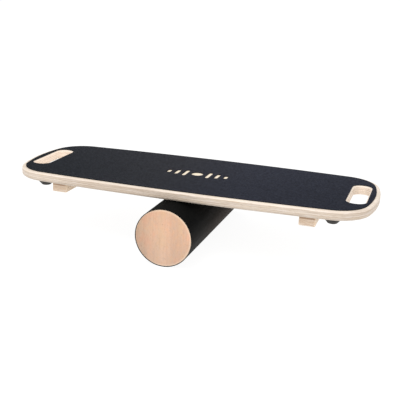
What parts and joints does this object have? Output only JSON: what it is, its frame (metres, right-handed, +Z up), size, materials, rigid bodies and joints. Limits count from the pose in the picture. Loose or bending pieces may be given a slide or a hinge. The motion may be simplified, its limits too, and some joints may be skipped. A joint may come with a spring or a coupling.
{
  "type": "balance board",
  "caption": "Wooden rocker deck with a grip sheet, hand slots, stop bars and rubber feet, on a loose cylindrical roller, for balance training.",
  "frame": {"origin": "on the floor under the middle of the roller, with the deck level and centred on it", "axes": "+X along the deck's length, +Y along the roller's axis away from the front, +Z up"},
  "size_m": [0.74, 0.387, 0.1325],
  "materials": {
    "plywood": "birch plywood, clear lacquer",
    "grip": "fine grit grip sheet, matte",
    "stop_wood": "birch plywood strip, satin",
    "foot_rubber": "moulded, matte",
    "fastener_steel": "zinc plated",
    "sleeve": "thin grit wrap, matte",
    "cap_wood": "end-sanded plywood, satin",
    "tube": "plain pipe",
    "plug_wood": "raw"
  },
  "bodies": {
    "roller_core": {"roller_core_tube": "tube"},
    "tilt_carrier": {"roller_plug_front": "plug_wood", "roller_plug_rear": "plug_wood"},
    "deck": {"deck_board": "plywood", "deck_grip_sheet": "grip", "stop_bar_left": "stop_wood", "stop_bar_right": "stop_wood", "stop_screws_left": "fastener_steel", "stop_screws_right": "fastener_steel", "foot_front_left": "foot_rubber", "foot_front_right": "foot_rubber", "foot_rear_left": "foot_rubber", "foot_rear_right": "foot_rubber", "foot_washers": "fastener_steel", "foot_screws": "fastener_steel"},
    "roller_shell": {"roller_grip_sleeve": "sleeve", "roller_cap_front": "cap_wood", "roller_cap_rear": "cap_wood"}
  },
  "joints": [
    {"name": "deck_rock", "type": "hinge", "parent": "roller_core", "child": "tilt_carrier", "pos_m": [0, 0, 0.0565], "axis": [0, -1, 0], "range_deg": [-17.5, 17.5]},
    {"name": "deck_travel", "type": "slide", "parent": "tilt_carrier", "child": "deck", "axis": [1, 0, 0], "range_m": [-0.195, 0.195]},
    {"name": "roller_spin", "type": "hinge", "parent": "tilt_carrier", "child": "roller_shell", "pos_m": [0, 0, 0.0565], "axis": [0, 1, 0], "range_deg": [-200, 200]}
  ],
  "couplings": [
    {"joint": "roller_spin", "follows": "deck_travel", "rad_per_m": 17.699}
  ]
}
